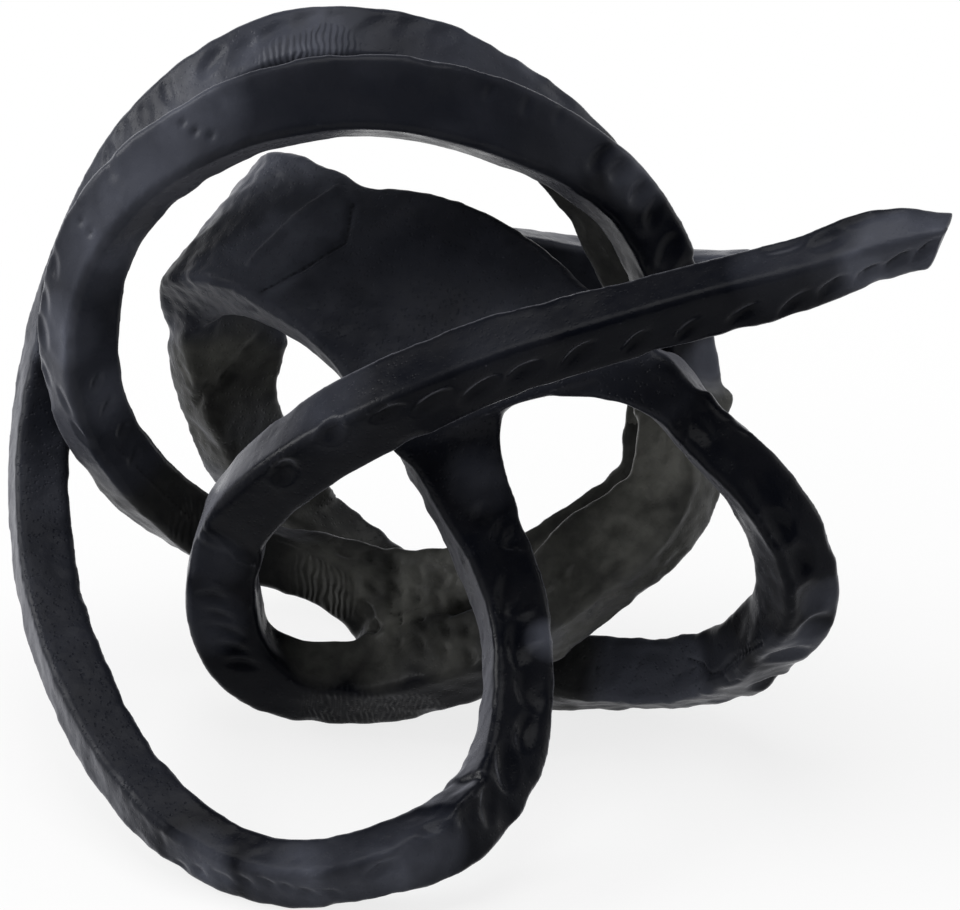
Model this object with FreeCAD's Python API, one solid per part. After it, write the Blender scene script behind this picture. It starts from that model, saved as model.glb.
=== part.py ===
"""A heavy knot sculpture: one roughly square metal bar, cast in lengths that are welded end to end.

The knot is laid out on a sheet that leans back from the vertical. A station on the sheet is given by
shares: across and rise count squares of the sheet, depth counts bar sides behind the sheet, and the
section sizes count bar sides. The sheet leans back, so that the knot stands on the low points of its
loops, and those points are ground flat.
"""
import FreeCAD, Part
import math
import os

# Driving dimensions, in millimetres and degrees
sheet_square = 29.4
bar_side = 19.5
edge_bevel = 1.7
lean_angle = 28.0
section_step = 10.5
weld_clearance = 0.3
foot_grind = 1.0
grind_room = 60.0

# How often the hidden tail is moved closer to its seat
seat_steps = 4

# Stations of each length of bar: across, rise, depth, section side, then the roll in degrees.
# Where the bar is spread flat, two more values multiply its side into a width and a thickness.
# A length ends where the next one starts.
long_run_shares = [
    ("tail_bar", [
        (4.68, 6.76, 1.55, 0.72, -27),
        (4.00, 6.715, 1.50, 0.85, -50),
        (3.20, 6.42, 1.45, 0.87, -40),
        (2.20, 6.15, 1.45, 0.90, -36),
        (1.20, 5.89, 1.45, 0.92, -42),
        (0.20, 5.60, 1.45, 0.97, -45),
        (-0.70, 5.23, 1.68, 1.03, -43),
        (-1.50, 4.82, 2.30, 1.03, -33),
        (-2.15, 4.33, 3.25, 1.02, -22),
    ]),
    ("small_loop", [
        (-2.48, 3.87, 4.10, 1.02, -7),
        (-2.58, 3.17, 4.65, 1.08, 6),
        (-2.37, 2.62, 5.06, 1.01, 20),
        (-1.88, 2.36, 5.32, 0.97, 46),
        (-1.30, 2.33, 5.34, 1.00, 54),
        (-0.40, 2.50, 4.72, 1.05, 57),
    ]),
    ("cradle_front", [
        (0.20, 2.71, 4.40, 1.05, 58),
        (0.67, 3.01, 4.12, 1.05, 60),
        (1.06, 3.45, 3.96, 1.05, 62, 1.0, 1.33),
        (1.58, 3.85, 3.75, 1.05, 63, 1.0, 1.23),
        (1.92, 4.24, 3.68, 1.05, 62, 1.0, 1.10),
        (1.99, 4.72, 3.70, 1.04, 56),
    ]),
    ("ring_right", [
        (2.00, 5.30, 3.92, 1.00, 42),
        (1.93, 5.95, 3.80, 0.94, 30),
        (1.80, 6.55, 3.50, 0.92, 22),
        (1.50, 7.09, 3.20, 0.92, 17),
    ]),
    ("ring_top", [
        (1.00, 7.55, 2.80, 1.01, 12),
        (0.35, 7.89, 2.45, 1.12, 9),
        (-0.50, 8.15, 2.22, 1.17, 6),
        (-1.30, 8.21, 2.18, 1.16, 7),
        (-2.15, 8.07, 2.30, 1.11, 9),
    ]),
    ("ring_left", [
        (-2.86, 7.75, 2.65, 1.02, 16),
        (-3.47, 7.28, 3.20, 0.97, 26),
        (-3.89, 6.63, 3.82, 0.94, 43),
        (-4.03, 5.82, 4.45, 0.98, 59),
        (-3.91, 5.09, 4.92, 0.95, 65),
    ]),
    ("cradle_left", [
        (-3.49, 4.43, 5.50, 0.92, 72),
        (-2.97, 4.00, 5.90, 0.92, 83),
        (-2.40, 3.68, 6.05, 0.90, 97),
        (-1.76, 3.51, 5.98, 0.87, 112),
        (-1.36, 3.41, 5.75, 0.92, 135),
    ]),
    ("cradle_back", [
        (-0.98, 3.16, 5.86, 1.00, 144, 1.42, 1.0),
        (-0.54, 3.20, 5.52, 1.00, 147, 1.30, 1.0),
        (-0.06, 3.31, 5.16, 1.00, 148, 0.98, 1.0),
        (0.38, 3.47, 4.95, 1.00, 150, 0.62, 1.0),
        (0.73, 3.68, 5.15, 1.00, 150, 0.60, 1.0),
        (1.10, 3.83, 5.32, 1.00, 149, 0.84, 1.0),
        (1.46, 4.00, 5.36, 1.00, 148),
        (1.80, 4.36, 5.22, 1.00, 145),
    ]),
    ("inner_riser", [
        (1.87, 4.90, 5.18, 1.00, 142),
        (1.88, 5.50, 5.30, 0.98, 140),
        (1.70, 6.25, 5.10, 0.98, 137),
        (1.38, 6.95, 4.78, 1.00, 133),
    ]),
    ("back_ring", [
        (0.95, 7.60, 4.25, 1.00, 129),
        (0.35, 8.10, 3.85, 1.00, 127),
        (-0.30, 8.49, 3.58, 1.00, 125),
        (-1.10, 8.68, 3.50, 1.00, 125),
        (-1.92, 8.65, 3.58, 1.00, 126),
        (-2.67, 8.28, 3.90, 1.00, 129),
        (-3.40, 7.60, 4.55, 0.96, 136),
    ]),
    ("outer_loop_left", [
        (-3.90, 6.72, 5.25, 0.90, 148),
        (-4.28, 5.70, 5.98, 0.85, 162),
        (-4.44, 4.62, 5.72, 0.85, 169),
        (-4.36, 3.40, 4.62, 0.87, 167),
        (-4.05, 2.40, 3.30, 0.87, 161),
        (-3.55, 1.50, 2.15, 0.86, 153),
    ]),
    ("outer_loop_bottom", [
        (-2.98, 0.90, 1.20, 0.84, 145),
        (-2.35, 0.56, 0.66, 0.81, 140),
        (-1.70, 0.46, 0.25, 0.81, 136),
        (-1.00, 0.59, 0.05, 0.87, 130),
        (-0.42, 0.79, 0.35, 0.94, 120),
    ]),
    ("riser", [
        (0.02, 1.17, 0.95, 0.99, 110),
        (0.27, 1.63, 1.55, 0.98, 106),
        (0.37, 2.20, 2.10, 0.95, 105),
        (0.36, 2.80, 2.50, 0.95, 105),
        (0.27, 3.25, 2.72, 0.98, 106),
        (0.14, 3.60, 2.85, 1.02, 107),
    ]),
]
side_run_shares = [
    ("side_loop_right", [
        (2.12, 5.00, 2.30, 0.88, -4),
        (2.30, 4.80, 2.10, 0.87, -6),
        (2.67, 4.43, 1.95, 0.92, -9),
        (2.98, 4.00, 2.05, 0.95, -17),
        (3.16, 3.50, 2.45, 0.97, -31),
        (3.13, 3.10, 3.00, 1.00, -42),
        (2.90, 2.82, 3.75, 0.98, -54),
    ]),
    ("side_loop_bottom", [
        (2.45, 2.52, 4.79, 1.00, -74),
        (1.80, 2.41, 5.43, 1.00, -83),
    ]),
    ("rear_foot", [
        (1.23, 2.43, 5.60, 1.00, -80),
        (0.70, 2.44, 5.66, 0.98, -72),
        (0.20, 2.57, 6.14, 0.98, -64),
        (-0.30, 2.85, 6.88, 0.98, -62),
        (-0.80, 3.20, 7.90, 0.98, -60),
        (-1.30, 3.54, 8.60, 0.98, -55),
        (-1.70, 3.86, 8.75, 0.98, -45),
    ]),
]

# Ribs of the flat flared pieces: each has its left edge and its right edge, both as across, rise and
# depth, then its thickness, then the way its outer face looks, as across, rise and depth.
split_rib_share = ((-0.86, 4.68, 3.12), (1.84, 5.65, 2.72), 0.92, (0, 0, -1))
block_rib_share = ((-2.24, 6.05, 4.03), (-1.08, 7.24, 4.90), 0.95, (0, 0, -1))
strap_rib_share = ((-3.08, 5.77, 6.23), (-1.99, 5.75, 6.85), 0.95, (0, 0, -1))
crotch_share = 0.44
riser_head_shares = [
    ((-0.52, 4.16, 2.83), (0.27, 4.20, 3.18), 0.90, (0, 0, -1)),
    ((-0.70, 4.45, 2.98), (0.17, 4.76, 3.30), 0.90, (0, 0, -1)),
]
side_loop_head_shares = [
    ((0.80, 5.22, 3.02), (1.96, 5.59, 2.57), 0.91, (0, 0, -1)),
    ((1.20, 5.21, 2.85), (2.08, 5.45, 2.46), 0.90, (0, 0, -1)),
]
saddle_shares = [
    ((-1.90, 5.85, 3.82), (-0.30, 7.15, 4.54), 0.93, (0, 0, -1)),
    ((-1.55, 5.57, 3.66), (0.47, 6.77, 4.15), 0.92, (0, 0, -1)),
    ((-1.20, 5.15, 3.42), (1.20, 6.17, 3.36), 0.92, (0, 0, -1)),
]
corner_block_shares = [
    ((-2.58, 6.17, 4.46), (-1.58, 7.42, 5.31), 1.00, (-0.4, 0.35, -0.85)),
    ((-2.92, 6.17, 5.31), (-1.98, 7.40, 6.08), 1.05, (-0.75, 0.65, 0)),
    ((-3.04, 5.97, 5.92), (-2.12, 6.60, 6.69), 1.00, (-0.5, 0.3, 0.8)),
]
rear_strap_shares = [
    ((-3.03, 5.42, 6.54), (-2.13, 5.40, 7.15), 0.95, (0, 0, -1)),
    ((-2.83, 4.87, 7.00), (-2.10, 4.97, 7.62), 0.95, (0, 0, -1)),
    ((-2.45, 4.17, 7.95), (-1.72, 4.39, 8.45), 0.95, (0, 0, -1)),
]

# The second free end, behind the saddle
hidden_tail_shares = [
    ("hidden_tail", [
        (-0.50, 6.50, 5.24, 0.90, 10),
        (0.20, 6.58, 5.50, 0.90, 12),
        (0.93, 6.50, 6.10, 0.90, 12),
        (1.70, 6.41, 6.52, 0.88, 12),
        (2.46, 6.39, 6.55, 0.78, 14),
    ]),
]


def add(a, b, share=1.0):
    """Return a plus share times b."""
    return tuple(p + share * q for p, q in zip(a, b))


def dot(a, b):
    """Return the scalar product."""
    return sum(p * q for p, q in zip(a, b))


def cross(a, b):
    """Return the vector product."""
    return (a[1] * b[2] - a[2] * b[1], a[2] * b[0] - a[0] * b[2], a[0] * b[1] - a[1] * b[0])


def unit(a):
    """Return the vector at length one."""
    length = math.sqrt(dot(a, a))
    return tuple(p / length for p in a)


lean = math.radians(lean_angle)
across_axis = (1.0, 0.0, 0.0)
rise_axis = (0.0, math.sin(lean), math.cos(lean))
depth_axis = (0.0, math.cos(lean), -math.sin(lean))


def on_sheet(across, rise, depth):
    """Turn shares of the sheet and of the bar into a place in millimetres."""
    place = add((0.0, 0.0, 0.0), across_axis, across * sheet_square)
    place = add(place, rise_axis, rise * sheet_square)
    return add(place, depth_axis, depth * bar_side)


def toward(across, rise, depth):
    """Turn a direction on the sheet into a direction in space."""
    way = add((0.0, 0.0, 0.0), across_axis, across)
    way = add(way, rise_axis, rise)
    return unit(add(way, depth_axis, depth))


def outline(centre, wide_axis, thick_axis, wide, thick):
    """Return the eight corners of a bevelled rectangular section."""
    bevel = min(edge_bevel, wide / 4, thick / 4)
    half_wide = wide / 2
    half_thick = thick / 2
    quarter_turn = [
        (half_wide, half_thick - bevel), (half_wide - bevel, half_thick),
        (bevel - half_wide, half_thick), (-half_wide, half_thick - bevel),
        (-half_wide, bevel - half_thick), (bevel - half_wide, -half_thick),
        (half_wide - bevel, -half_thick), (half_wide, bevel - half_thick),
    ]
    return [add(add(centre, wide_axis, w), thick_axis, t) for w, t in quarter_turn]


def slopes(rows, keys):
    """Return the slope of every column at every station of a smooth run."""
    result = []
    last = len(rows) - 1
    for i in range(len(rows)):
        low = max(i - 1, 0)
        high = min(i + 1, last)
        if low < i < high:
            before = keys[i] - keys[low]
            after = keys[high] - keys[i]
            result.append([
                ((b - a) / before * after + (c - b) / after * before) / (before + after)
                for a, b, c in zip(rows[low], rows[i], rows[high])])
        else:
            span = keys[high] - keys[low]
            result.append([(c - a) / span for a, c in zip(rows[low], rows[high])])
    return result


def smooth_row(rows, keys, tangents, key):
    """Return every column at a key between the stations, and its slope there."""
    i = 0
    while i < len(keys) - 2 and key > keys[i + 1]:
        i += 1
    span = keys[i + 1] - keys[i]
    t = (key - keys[i]) / span
    values = []
    rates = []
    for a, b, ta, tb in zip(rows[i], rows[i + 1], tangents[i], tangents[i + 1]):
        values.append((2 * t**3 - 3 * t**2 + 1) * a + (t**3 - 2 * t**2 + t) * span * ta
                      + (3 * t**2 - 2 * t**3) * b + (t**3 - t**2) * span * tb)
        rates.append((6 * t**2 - 6 * t) * (a - b) / span + (3 * t**2 - 4 * t + 1) * ta
                     + (3 * t**2 - 2 * t) * tb)
    return values, rates


def bar_section(values, rates):
    """Return the outline of the square bar at one place of its run."""
    way = unit(tuple(rates[:3]))
    viewer = (-depth_axis[0], -depth_axis[1], -depth_axis[2])
    facing = unit(add(viewer, way, -dot(viewer, way)))
    sideways = cross(way, facing)
    wide, thick, roll = values[3], values[4], math.radians(values[5])
    thick_axis = add(tuple(math.cos(roll) * p for p in facing), sideways, math.sin(roll))
    wide_axis = cross(way, thick_axis)
    return outline(tuple(values[:3]), wide_axis, thick_axis, wide, thick)


def run_sections(run_shares):
    """Return, for each length of a run, the outlines from its start to its end."""
    rows = []
    starts = []
    for name, stations in run_shares:
        starts.append(len(rows))
        for across, rise, depth, side, roll, *spread in stations:
            wide, thick = spread or (1.0, 1.0)
            size = [side * wide * bar_side, side * thick * bar_side]
            rows.append(list(on_sheet(across, rise, depth)) + size + [roll])
    keys = [0.0]
    for a, b in zip(rows, rows[1:]):
        keys.append(keys[-1] + math.dist(a[:3], b[:3]))
    tangents = slopes(rows, keys)
    ends = starts[1:] + [len(rows) - 1]
    sections = {}
    for (name, stations), start, end in zip(run_shares, starts, ends):
        length = keys[end] - keys[start]
        count = max(2, round(length / section_step))
        sections[name] = []
        for i in range(count + 1):
            key = keys[start] + length * i / count
            sections[name].append(bar_section(*smooth_row(rows, keys, tangents, key)))
    return sections


def rib_frame(rib):
    """Return a rib's left and right edge, its thickness and its two axes."""
    left, right, thick, way = rib
    left = on_sheet(*left)
    right = on_sheet(*right)
    wide_axis = unit(add(right, left, -1.0))
    outward = toward(*way)
    thick_axis = unit(add(outward, wide_axis, -dot(outward, wide_axis)))
    return left, right, thick * bar_side, wide_axis, thick_axis


def rib_section(rib, start=0.0, end=1.0):
    """Return the outline of a rib, or of the part of it between two shares of its width."""
    left, right, thick, wide_axis, thick_axis = rib_frame(rib)
    span = add(right, left, -1.0)
    a = add(left, span, start)
    b = add(left, span, end)
    centre = add(a, add(b, a, -1.0), 0.5)
    return outline(centre, wide_axis, thick_axis, math.dist(a, b), thick)


def matched(corners, previous):
    """Start an outline at the corner, and run it the way, that twists least from the one before."""
    choices = []
    for order in (corners, corners[::-1]):
        for shift in range(len(order)):
            turned = order[shift:] + order[:shift]
            choices.append((sum(math.dist(p, q) for p, q in zip(turned, previous)), turned))
    return min(choices, key=lambda choice: choice[0])[1]


def all_sections():
    """Return the outlines of every piece of the knot, by its name."""
    pieces = {}
    pieces.update(run_sections(long_run_shares))
    pieces.update(run_sections(side_run_shares))
    pieces.update(run_sections(hidden_tail_shares))
    riser_split = rib_section(split_rib_share, 0.0, crotch_share)
    side_split = rib_section(split_rib_share, crotch_share, 1.0)
    pieces["riser_head"] = (
        [pieces["riser"][-1]] + [rib_section(rib) for rib in riser_head_shares] + [riser_split])
    pieces["side_loop_head"] = (
        [side_split] + [rib_section(rib) for rib in side_loop_head_shares]
        + [pieces["side_loop_right"][0]])
    pieces["saddle"] = (
        [rib_section(block_rib_share)] + [rib_section(rib) for rib in saddle_shares]
        + [rib_section(split_rib_share)])
    pieces["corner_block"] = (
        [rib_section(block_rib_share)] + [rib_section(rib) for rib in corner_block_shares]
        + [rib_section(strap_rib_share)])
    pieces["rear_strap"] = (
        [rib_section(strap_rib_share)] + [rib_section(rib) for rib in rear_strap_shares]
        + [pieces["rear_foot"][-1]])
    for name, sections in pieces.items():
        aligned = [sections[0]]
        for corners in sections[1:]:
            aligned.append(matched(corners, aligned[-1]))
        pieces[name] = aligned
    return pieces


def lofted(sections):
    """Loft a solid through the outlines."""
    wires = []
    for corners in sections:
        points = [FreeCAD.Vector(*corner) for corner in corners]
        wires.append(Part.makePolygon(points + [points[0]]))
    return Part.makeLoft(wires, True, False)


def seated(solid, neighbour, way):
    """Move a solid the given way until only the weld's clearance parts it from its neighbour."""
    for step in range(seat_steps):
        gap = solid.distToShape(neighbour)[0]
        solid.translate(FreeCAD.Vector(*way) * (gap - weld_clearance))
    return solid


def stand_on_floor(pieces, solids):
    """Grind the low points flat, and put the knot's middle over the origin."""
    corners = [corner for sections in pieces.values() for section in sections for corner in section]
    low = [min(corner[i] for corner in corners) for i in range(3)]
    high = [max(corner[i] for corner in corners) for i in range(3)]
    floor = low[2] + foot_grind
    reach = math.dist(low, high) + grind_room
    middle = FreeCAD.Vector((low[0] + high[0]) / 2, (low[1] + high[1]) / 2, floor)
    waste = Part.makeBox(reach, reach, grind_room, FreeCAD.Vector(
        middle.x - reach / 2, middle.y - reach / 2, floor - grind_room))
    standing = {}
    for name, solid in solids.items():
        ground = solid.cut(waste) if solid.BoundBox.ZMin < floor else solid
        ground.translate(-middle)
        standing[name] = ground
    return standing


def main():
    """Build every length of the knot and write one file for each."""
    os.makedirs("parts", exist_ok=True)
    pieces = all_sections()
    solids = {name: lofted(sections) for name, sections in pieces.items()}
    solids["hidden_tail"] = seated(solids["hidden_tail"], solids["saddle"], toward(0, 0, -1))
    for name, solid in stand_on_floor(pieces, solids).items():
        print(name, "volume", round(solid.Volume), "valid", solid.isValid())
        solid.exportStep(os.path.join("parts", name + ".step"))


main()
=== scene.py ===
"""The looks of the knot sculpture: each length of bar gets a fine skin, hammered, pitted and painted."""
import bpy
import math
import numpy as np
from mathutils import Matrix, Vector, noise
from mathutils.bvhtree import BVHTree


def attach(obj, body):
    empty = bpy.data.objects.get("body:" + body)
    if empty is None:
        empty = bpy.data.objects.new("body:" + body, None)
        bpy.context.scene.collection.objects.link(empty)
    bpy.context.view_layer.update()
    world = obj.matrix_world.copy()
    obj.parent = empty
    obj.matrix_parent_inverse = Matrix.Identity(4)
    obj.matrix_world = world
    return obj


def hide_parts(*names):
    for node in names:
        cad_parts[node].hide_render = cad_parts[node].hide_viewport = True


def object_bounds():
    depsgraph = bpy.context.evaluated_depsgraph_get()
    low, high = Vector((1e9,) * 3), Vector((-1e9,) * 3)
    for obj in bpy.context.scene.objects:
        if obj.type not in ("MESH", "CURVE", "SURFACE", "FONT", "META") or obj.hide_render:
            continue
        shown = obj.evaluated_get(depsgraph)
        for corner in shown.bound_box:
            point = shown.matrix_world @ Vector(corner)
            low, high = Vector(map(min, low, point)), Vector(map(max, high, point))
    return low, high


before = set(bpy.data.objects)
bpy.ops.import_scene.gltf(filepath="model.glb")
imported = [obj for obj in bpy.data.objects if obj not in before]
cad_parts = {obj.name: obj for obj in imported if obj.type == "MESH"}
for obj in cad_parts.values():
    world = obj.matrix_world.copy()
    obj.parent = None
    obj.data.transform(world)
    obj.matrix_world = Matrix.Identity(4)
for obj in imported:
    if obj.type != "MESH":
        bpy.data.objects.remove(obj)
cad_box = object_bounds()

# One millimetre, and what keeps a division from being by zero
MM = 0.001
TINY = 1e-12

# The sheet that the knot is laid out on, in metres: the photograph looks straight at it
SHEET_SQUARE = 0.0294
LEAN = math.radians(28.0)
SHEET_ZERO = Vector((0.000933, -0.106648, 0.000679))
RISE_AXIS = Vector((0.0, math.sin(LEAN), math.cos(LEAN)))
DEPTH_AXIS = Vector((0.0, math.cos(LEAN), -math.sin(LEAN)))
PIXELS_PER_SQUARE = 100.0
PIXEL = SHEET_SQUARE / PIXELS_PER_SQUARE
PHOTO_WIDTH = 960
PHOTO_HEIGHT = 910
ZERO_PIXEL = (480.0, 917.0)
# How deep the places lie from which the skin is looked at, well in front of the knot
LOOK_DEPTH = -1.0

# The skin: the side of its squares in metres, how many rounds of smoothing each thing gets, and the
# share of one round that comes last
SKIN_GRID = 0.0009
RAW_ROUNDS = 3
NORMAL_ROUNDS = 6
SOFT_ROUNDS = 25
ROUGH_ROUNDS = 12
COLOUR_ROUNDS = 40
DENT_ROUNDS = 3
LAST_SMOOTHING = 0.3

# Lengths whose skins run on into each other, and the neighbours that each run of skin is made with
SKIN_GROUPS = [
    (("tail_bar", "small_loop", "cradle_front", "ring_right", "ring_top", "ring_left", "cradle_left",
      "cradle_back"),
     ("inner_riser",)),
    (("inner_riser", "back_ring"),
     ("cradle_back", "outer_loop_left")),
    (("outer_loop_left", "outer_loop_bottom", "riser", "riser_head", "saddle", "corner_block",
      "rear_strap", "rear_foot", "side_loop_bottom", "side_loop_right", "side_loop_head"),
     ("back_ring",)),
    (("hidden_tail",), ()),
]

# The band's two lanes run flush into one wide face, so the skin fills the crevice between them: how
# near both lanes have to be, and half the width of the small balls that fill it, in metres
FRONT_LANE = ("cradle_front", "small_loop")
BACK_LANE = ("cradle_back", "cradle_left")
CREVICE_WIDTH = 0.0040
CREVICE_BALL = 0.0026
BALL_FACES = ((0, 3, 4), (0, 4, 2), (0, 2, 5), (0, 5, 3), (1, 4, 3), (1, 2, 4), (1, 5, 2), (1, 3, 5))

# The free end's slant: pixels across where it starts and ends, its top and lowest pixel row, how far
# the top reaches out in pixels, and how many pixels it draws back for each pixel further down
TIP_START = 885.0
TIP_END = 948.0
TIP_TOP = 218.0
TIP_BELOW = 330.0
TIP_REACH = 5.0
TIP_SLANT = 0.50

# The second free end's taper: pixels across where it starts and ends, the pixels that it reaches
# further, and the pixel row that it narrows to and how much
TAPER_START = 694.0
TAPER_END = 722.0
TAPER_REACH = 27.0
TAPER_ROW = 247.0
TAPER_SHARE = 0.8

# Where strands meet in a soft hollow: middle pixel and radius in pixels, and how many radii away its
# smoothing ends
SOFT_SPOTS = [((724, 402), 20)]
SOFT_END = 1.5

# How rough each length's casting is, from 0 to 1
USUAL_ROUGHNESS = 0.35
ROUGHNESS_OF = {
    "corner_block": 0.9, "rear_strap": 0.8, "rear_foot": 0.9, "outer_loop_left": 0.4,
    "side_loop_bottom": 1.0, "saddle": 0.5, "riser_head": 0.55, "ring_top": 0.08, "ring_left": 0.2,
    "ring_right": 0.35, "tail_bar": 0.12, "small_loop": 0.3, "cradle_back": 0.7, "cradle_front": 0.6,
    "outer_loop_bottom": 0.5, "riser": 0.3, "cradle_left": 0.5,
}

# Swells of the casting, over all of it and then by how rough it is: length of one wave in metres,
# seed and height in millimetres; and how far one seed moves the noise along each axis
SWELLS = [(0.020, 1, 0.45)]
ROUGH_SWELLS = [(0.007, 2, 0.75), (0.0032, 3, 0.35)]
SEED_STEPS = (7.13, 3.71, 5.37)

# A hammer dent: how much deeper it is towards one side, then its faint rim's height as a share of its
# depth, and the rim's place and width as shares of the way from the dent's middle to its limit
DENT_TILT = 1.3
RIM_HEIGHT = 0.10
RIM_PLACE_SHARE = 1.08
RIM_WIDTH_SHARE = 0.20
# Only what faces the same way as a spot, by more than this cosine, counts as near it
SAME_SIDE = 0.35

# Dents on the sides that the photograph doesn't show: the metres from one to the next, the part of its
# cell that each one lies in, and how many spacings off the skin may be. Then their least length in
# millimetres, width as a share of it and depth in millimetres, each with how much more it may be
HIDDEN_SEED = 5
HIDDEN_SPACING = 0.0085
HIDDEN_PLACE = (0.1, 0.9)
HIDDEN_REACH = 0.55
HIDDEN_LENGTH = (9, 4)
HIDDEN_WIDTH_SHARE = (0.5, 0.25)
HIDDEN_DEPTH = (0.35, 0.4)
# They come where the outward direction points away from the photograph by this cosine or more
HIDDEN_FACING = -0.05
# The bar's own direction is found from one point in so many, within this reach in metres
BAR_STEP = 23
BAR_REACH = 0.013

# Rows of hammer dents: first and last pixel of the row, how many, a dent's length and width in pixels,
# the way its length points, in degrees from rightwards to upwards, and its depth in millimetres
DENT_ROWS = [
    ((700, 262), (826, 240), 4, (34, 16), 24, 0.6),
    ((856, 222), (914, 208), 3, (28, 13), 22, 0.6),
    ((527, 371), (797, 303), 6, (36, 13), 46, 1.1),
    ((835, 290), (928, 248), 4, (30, 11), 48, 1.1),
    ((390, 412), (480, 388), 3, (34, 14), 46, 1.0),
    ((287, 472), (336, 434), 2, (27, 16), 62, 1.3),
    ((213, 600), (238, 668), 5, (34, 9), -20, 1.0),
    ((50, 262), (40, 330), 3, (30, 13), 92, 0.5),
    ((45, 372), (80, 432), 3, (26, 12), 120, 0.5),
    ((600, 160), (640, 190), 3, (24, 17), 45, 0.9),
    ((655, 212), (668, 250), 2, (30, 16), 60, 0.6),
    ((490, 96), (560, 118), 3, (16, 8), 60, 0.4),
    ((165, 92), (105, 160), 4, (32, 16), 125, 0.4),
    ((210, 62), (310, 22), 4, (32, 18), 40, 0.45),
    ((345, 20), (480, 34), 5, (32, 20), 25, 0.35),
    ((505, 50), (560, 92), 3, (30, 16), -25, 0.4),
    ((700, 432), (757, 492), 3, (40, 20), -52, 0.45),
    ((780, 527), (812, 600), 3, (36, 27), -60, 1.2),
    ((812, 630), (768, 684), 3, (36, 24), 40, 1.1),
    ((508, 600), (530, 690), 3, (40, 20), 84, 0.9),
    ((524, 730), (492, 800), 3, (42, 20), 74, 0.9),
    ((470, 812), (385, 868), 4, (34, 16), 30, 0.8),
    ((482, 515), (505, 532), 2, (24, 14), 60, 0.6),
    ((345, 556), (440, 578), 5, (20, 10), -58, 0.7),
    ((352, 584), (455, 606), 6, (20, 10), -58, 0.8),
    ((372, 612), (466, 632), 5, (20, 10), -58, 0.8),
    ((392, 640), (470, 656), 4, (20, 10), -58, 0.7),
    ((520, 612), (640, 505), 6, (24, 12), 38, 0.5),
    ((530, 640), (670, 520), 6, (24, 10), 40, 0.5),
    ((650, 470), (680, 420), 3, (28, 12), 80, 0.4),
    ((180, 866), (330, 892), 8, (18, 8), -12, 0.5),
    ((200, 400), (250, 350), 3, (34, 12), 60, 0.9),
    ((98, 385), (130, 455), 4, (20, 9), 60, 0.6),
    ((185, 122), (212, 138), 3, (10, 7), 60, 0.5),
    ((78, 222), (92, 232), 2, (9, 6), 20, 0.5),
]
# What all those dents are made larger and deeper by, and by how much each one differs from its row:
# pixels moved, times larger and degrees turned
DENT_SPREAD = 1.45
DENT_DEEPEN = 1.8
ROW_SEED = 11
ROW_SHIFT = 3
ROW_SWELL = (0.85, 1.15)
ROW_TURN = 10

# Raised veins and sunk cracks: their pixels in order, width in pixels and height in millimetres
LINES = [
    ([(205, 528), (222, 542), (238, 560), (256, 566)], 3.0, 0.7),
    ([(212, 584), (226, 588), (240, 600), (252, 610)], 2.6, 0.6),
    ([(506, 549), (516, 551), (524, 549)], 3.0, 0.8),
    ([(597, 668), (596, 686), (598, 704)], 2.2, -0.9),
    ([(690, 660), (702, 664), (712, 676), (722, 672), (738, 656), (764, 642)], 2.6, -1.6),
    ([(712, 676), (700, 690), (694, 700)], 1.8, -1.0),
    ([(115, 447), (138, 470), (160, 492), (190, 520)], 2.6, -0.7),
    ([(700, 664), (690, 672), (676, 677)], 1.8, -1.0),
    ([(722, 672), (730, 684), (742, 680)], 1.8, -1.0),
    ([(640, 664), (637, 678), (640, 692)], 1.8, -0.7),
    ([(250, 262), (290, 222), (338, 186)], 6.0, 1.3),
    ([(262, 290), (300, 268), (345, 240), (352, 200)], 5.0, -1.3),
]
# The pixels from one bump of a line to the next
LINE_STEP = 3

# Where grinding left fine ribs: middle pixel and radius in pixels
RIBBED_PATCHES = [
    ((320, 588), 42), ((330, 708), 34), ((370, 712), 34), ((415, 712), 34), ((385, 815), 30),
    ((430, 780), 32), ((462, 745), 26), ((325, 52), 36), ((285, 58), 28), ((190, 520), 26),
]
# Their strength at a patch's middle, before it is cut off at 1
RIBBED_MIDDLE = 1.3

# How far a length's paint goes from blue-black to olive grey: painted warm light reflected onto inner faces
PAINTED_OLIVE_LIGHT_OF = {
    "cradle_back": 0.42, "cradle_left": 0.12, "cradle_front": 0.32, "inner_riser": 0.25,
    "rear_strap": 0.28, "rear_foot": 0.12,
}

# Where the painted olive light is stronger: middle pixel, radius in pixels and how far
PAINTED_OLIVE_LIGHT_SPOTS = [
    ((320, 655), 45, 0.5), ((385, 652), 50, 0.45), ((450, 648), 45, 0.45), ((655, 440), 65, 1.0),
    ((620, 520), 60, 0.4), ((560, 570), 60, 0.2), ((420, 590), 80, 0.15), ((330, 570), 60, 0.35),
    ((380, 600), 50, 0.2), ((200, 360), 40, 0.4), ((240, 340), 40, 0.4),
]

# How far the paint of whole lengths is made lighter: partly rubbed paint, partly painted light on lit faces
SCUFF_AND_LIGHT_OF = {
    "side_loop_bottom": 1.0, "corner_block": 0.7, "saddle": 0.3, "back_ring": 0.33, "ring_left": 0.28,
    "outer_loop_left": 0.14, "hidden_tail": 0.5, "side_loop_head": 0.15, "ring_top": 0.18,
}
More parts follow.
